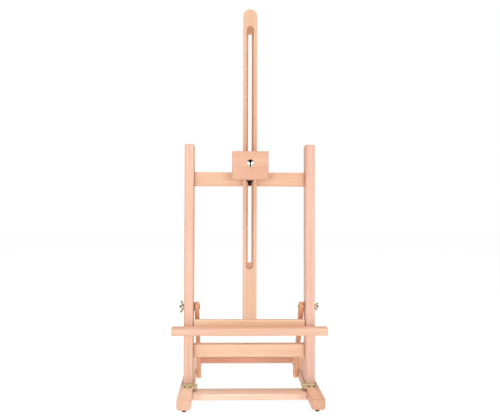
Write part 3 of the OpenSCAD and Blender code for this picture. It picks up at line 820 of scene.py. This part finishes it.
# Painted shade: the faces inside the channel's width and below the planed skin are browned, for
# the shade in the channel.
mast_mesh = soften("beech_mast", "mast", mast_arris)
across, depth, _ = upright(of_faces(mast_mesh, "center")).T
mast_depths = upright(node_points("mast"))[:, 1]
mark_painted_dark(mast_mesh, (np.abs(across) < channel_half)
            & (depth > mast_depths.min() + planed_skin)
            & (depth < mast_depths.max() - planed_skin))
fix(mast_mesh, "mast_slider", "beech",
    beech("mast_beech", "z", (0.06, 0.035, 0.6), lean=lean, figure=0.7, **mast_tones), "mast")
fix(soften("beech_tray_bar", "tray_bar", tray_arris), "mast_slider", "beech",
    beech("tray_bar_beech", "x", (0.5, 0.05, 0.3), **tray_bar_tones), "tray_bar")
fix(planed("beech_tray_ledge", level_stick("tray_ledge", 0, tray_arris), stand), "mast_slider",
    "beech", beech("tray_ledge_beech", "x", (0.2, 0.04, 1.1), **ledge_tones), "tray_ledge")
screws("tray_cross_screws", "tray_screws", "mast_slider", zinc)
screws("mast_foot_cross_screws", "mast_foot_screws", "mast_slider", zinc)


# ---- Canvas holder
# A block of beech with the grain across, clamped to the mast by a long bolt whose polished
# chrome dome shows in front. A washer bears on the back of the mast.

holder_arris = 0.001
holder_tones = dict(pale=(221, 178, 153), rosy=(213, 164, 138), deep=(192, 136, 104))
fix(planed("beech_holder_block", level_stick("holder_block", 0, holder_arris), stand),
    "canvas_holder", "beech", beech("holder_beech", "x", (0.33, 0.03, 0.5), **holder_tones),
    "holder_block")
# Painted reflection: the chrome's cream colour and its tan clouds, laid on as tarnish, stand for
# the wood and a cream room mirrored in it.
chrome = metal("polished_chrome", (238, 228, 214), (206, 190, 170), tarnish=0.2, shine=0.05,
               lift=0.03)
place_bolt("holder_chrome_bolt", "holder_bolt", "canvas_holder", "chrome", chrome, backwards)
washers("holder_ring", "holder_washer", backwards, "canvas_holder")


# ---- Wing nuts
# Four cast wing nuts with an aged bronze plating: a tapered hub with a collar, and two wings
# that swell into round ears. Two clamp the struts, one the mast and one the canvas holder.

collar_r, collar_h, hub_top_r, hub_h = 0.0056, 0.0016, 0.0044, 0.006
wing_reach, wing_h, wing_t, ear_r = 0.0126, 0.0095, 0.0022, 0.0032


def wing_hub(lip=0.0006, step=0.0005, mouth=0.0004, columns=56):
    """The hub: a collar at the seat, a step in to a waist that tapers to the top, and the bore
    with its widened mouths, swept round, with a rounded lip at the collar and at the top. Its
    last row meets its first."""
    turn = np.linspace(0, np.pi / 2, 5)
    radii = np.concatenate([[bore_r + mouth / 2, collar_r - lip],
                            collar_r - lip + lip * np.sin(turn),
                            [collar_r - step, hub_top_r + mouth / 2],
                            hub_top_r - lip + lip * np.cos(turn),
                            [bore_r + mouth, bore_r, bore_r]])
    heights = np.concatenate([[0, 0], lip - lip * np.cos(turn), [collar_h, hub_h - 2 * lip],
                              hub_h - lip + lip * np.sin(turn),
                              [hub_h, hub_h - step, mouth]])
    grid = turned(radii, heights, columns)
    return np.concatenate([grid, grid[:1]])


def wing(side):
    """One wing, a form carried along a spine from inside the hub to the ear, on side 1 or -1.
    The spine is the quadratic curve (1-t)^2 root + 2t(1-t) bend + t^2 tip; the half width
    narrows to a waist, swells to the ear and closes as a circle; the section is a superellipse
    of power 3, thickest at the root."""
    root, bend, heading = np.array([[0.0034, 0.0027], [0.0070, 0.0022], [0.80, 0.60]])
    waist_half, root_half = 0.0019, 0.0029
    ear = np.array([wing_reach - ear_r, wing_h - ear_r])
    tip = ear + heading * ear_r
    along = np.sin(np.linspace(0, np.pi / 2, 26))
    spine = (np.outer((1 - along) ** 2, root) + np.outer(2 * along * (1 - along), bend)
             + np.outer(along ** 2, tip))
    slope = np.gradient(spine, axis=0)
    slope /= np.linalg.norm(slope, axis=1)[:, None]
    normal = np.stack([-slope[:, 1], slope[:, 0]], axis=1)
    to_ear = np.linalg.norm(spine - ear, axis=1)
    from_tip = np.linalg.norm(spine - tip, axis=1)
    circle = np.sqrt(np.clip(ear_r ** 2 - (ear_r - from_tip) ** 2, 0, None))
    waist = waist_half + (root_half - waist_half) * smoothstep(0.006, 0.010, to_ear)
    width = np.where(from_tip < ear_r, circle, np.maximum(
        waist, np.sqrt(np.clip(ear_r ** 2 - to_ear ** 2, 0, None))))
    half_t = wing_t / 2 * (1 - 0.3 * along) * np.clip(width / (0.45 * ear_r), 0, 1) ** 0.5
    angle = np.linspace(0, 2 * np.pi, 28, endpoint=False)
    wide, thick = (np.sign(turn) * np.abs(turn) ** (2 / 3)
                   for turn in (np.cos(angle), np.sin(angle)))
    shift = np.outer(width, wide)
    return np.stack([side * (spine[:, :1] + normal[:, :1] * shift), np.outer(half_t, thick),
                     spine[:, 1:] + normal[:, 1:] * shift], axis=-1)


def wing_nut_mesh(name, start, axis, across):
    """A hub and two wings set down on a bolt. across says which way the wings stand. The hub
    wants no end faces."""
    grids = [set_down(grid, start, axis, across) for grid in (wing_hub(), wing(1), wing(-1))]
    hub_columns = grids[0].shape[1]
    points, faces = gather(grids)
    faces = [face for face in faces if len(face) != hub_columns]
    return polished(closed_mesh(name, points, faces), 50)


bronze = metal("aged_bronze", (206, 202, 178), (132, 126, 100), tarnish=0.5, shine=0.40,
               lift=0.4, bare=0.7)
beyond_hub = 0.0115
for node, body in (("strut_wing_nut_left", "strut_nut_left"),
                   ("strut_wing_nut_right", "strut_nut_right"),
                   ("mast_wing_nut", "mast_nut"), ("holder_wing_nut", "holder_nut")):
    axis = np.array(joints[f"{body}_turn"]["axis"])
    seat = np.array(joints[f"{body}_turn"]["pos_m"])
    points = node_points(node) - seat
    rise = points @ axis
    off_axis = points - np.outer(rise, axis)
    ears = off_axis[np.linalg.norm(off_axis, axis=1) > beyond_hub]
    across = np.linalg.svd(ears, full_matrices=False)[2][0]
    fix(wing_nut_mesh(f"cast_{node}", seat + axis * rise.min(), axis, across), body,
        "wing_bronze", bronze, node)


# ---- Studio
# A plain pale floor, a white surround, two low soft lights in front and a larger one above,
# and the camera at the height of the middle of the easel, about a metre away.

def floor_finish():
    """A white table lit from within, and almost pure white with faint shadows to the camera.
    Polished metal finds it dimmed, with a dark wedge of an aisle in front of the easel."""
    wedge, edge_half, dim = 0.3, 0.05, 0.45
    indirect_white, indirect_glow, seen_white, seen_glow = 0.75, 0.7, 0.10, 0.94
    material = bpy.data.materials.new("pale_floor")
    material.use_nodes = True
    board = Board(material.node_tree)
    path = board.add("ShaderNodeLightPath").outputs
    spot = board.add("ShaderNodeSeparateXYZ",
                     Vector=board.add("ShaderNodeTexCoord").outputs["Object"]).outputs
    edge = board.math("MULTIPLY_ADD", spot[1], wedge, board.math("ABSOLUTE", spot[0]))
    aisle = board.spread(edge, -edge_half, edge_half, 1.0, 0.0)
    dimmed = board.math("MAXIMUM", aisle, dim)
    unlit = board.math("MULTIPLY", dimmed, path["Is Glossy Ray"])
    lit = board.math("SUBTRACT", 1.0, unlit)

    def sheet(white, glow):
        paper = board.add("ShaderNodeBsdfDiffuse",
                          Color=board.blend(lit, (0, 0, 0, 1), (white, white, white, 1)))
        light = board.add("ShaderNodeEmission", Strength=board.math("MULTIPLY", lit, glow))
        return board.add("ShaderNodeAddShader", i0=paper.outputs[0], i1=light.outputs[0])

    mixed = board.add("ShaderNodeMixShader", i0=path["Is Camera Ray"],
                      i1=sheet(indirect_white, indirect_glow).outputs[0],
                      i2=sheet(seen_white, seen_glow).outputs[0])
    board.add("ShaderNodeOutputMaterial", Surface=mixed.outputs[0])
    return material


floor_half, floor_drop = 12.0, 0.0004
corners = [(x * floor_half, y * floor_half, -floor_drop)
           for x, y in ((-1, -1), (1, -1), (1, 1), (-1, 1))]
floor_mesh = bpy.data.meshes.new("pale_floor")
floor_mesh.from_pydata(corners, [], [(0, 1, 2, 3)])
floor_mesh.materials.append(floor_finish())
floor = bpy.data.objects.new("pale_floor", floor_mesh)
bpy.context.scene.collection.objects.link(floor)
floor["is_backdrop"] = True


def make_surround(ambient, backdrop, dark, bright):
    """A white backdrop that lights the easel softly. Polished metal finds two bright walls in
    it, to the left and the right, and a dark room between and above them. The edges are in
    shares of a direction's sideways and upward reach."""
    wall_edge, ceiling_edge, ceiling_dark = (0.3, 0.45), (0.45, 0.6), 0.15
    world = bpy.data.worlds.new("white_surround")
    world.use_nodes = True
    board = Board(world.node_tree)
    path = board.add("ShaderNodeLightPath")
    way = board.add("ShaderNodeSeparateXYZ",
                    Vector=board.add("ShaderNodeTexCoord").outputs["Generated"])
    sides = board.spread(board.math("ABSOLUTE", way.outputs[0]), *wall_edge, dark, bright)
    ceiling = board.spread(way.outputs[2], *ceiling_edge, 1.0, ceiling_dark)
    walls = board.math("MULTIPLY", sides, ceiling)
    mirrored = board.math("MULTIPLY", path.outputs["Is Glossy Ray"],
                          board.math("SUBTRACT", walls, ambient))
    seen = board.math("MULTIPLY", path.outputs["Is Camera Ray"], backdrop - ambient)
    strength = board.math("ADD", board.math("ADD", mirrored, seen), ambient)
    white = board.add("ShaderNodeBackground", Color=(1, 1, 1, 1), Strength=strength)
    board.add("ShaderNodeOutputWorld", Surface=white.outputs[0])
    bpy.context.scene.world = world


make_surround(ambient=0.48, backdrop=1.0, dark=0.06, bright=1.3)
bpy.context.scene.view_settings.view_transform = "Standard"


def soft_light(name, place, aim, size, power):
    """A square area light at place that faces aim."""
    lamp = bpy.data.lights.new(name, "AREA")
    lamp.size, lamp.energy = size, power
    light = bpy.data.objects.new(name, lamp)
    bpy.context.scene.collection.objects.link(light)
    towards = np.array(aim) - np.array(place)
    towards = towards / np.linalg.norm(towards)
    level = np.cross(towards, (0, 0, 1))
    level /= np.linalg.norm(level)
    light.matrix_world = Matrix([[level[row], np.cross(level, towards)[row], -towards[row],
                                  place[row]] for row in range(3)] + [[0, 0, 0, 1]])
    return light


lit_point = (0, 0, 0.30)
for side, place, power in (("left", (-1.25, -3.0, 0.30), 20.5),
                           ("right", (1.20, -3.0, 0.30), 19.5)):
    soft_light(f"{side}_light", place, lit_point, size=0.8, power=power)
overhead = soft_light("top_light", (0.0, -0.25, 2.6), lit_point, size=1.2, power=62)
overhead.visible_glossy = False

# The camera looks along +Y, turned a degree to the right and shifted to frame the whole easel.
camera = bpy.data.objects.new("camera", bpy.data.cameras.new("camera"))
bpy.context.scene.collection.objects.link(camera)
camera.data.lens = 33.06
camera.data.shift_x, camera.data.shift_y = 0.0243, 0.0142
camera.data.clip_start, camera.data.clip_end = 0.01, 60
camera_place, yaw, roll = (-0.0456, -1.0628, 0.3867), math.radians(-1.15), math.radians(0.2)
camera.matrix_world = (Matrix.Translation(camera_place)
                       @ Matrix.Rotation(yaw, 4, "Z") @ Matrix.Rotation(math.pi / 2, 4, "X")
                       @ Matrix.Rotation(roll, 4, "Z"))
bpy.context.scene.camera = camera

low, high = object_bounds()
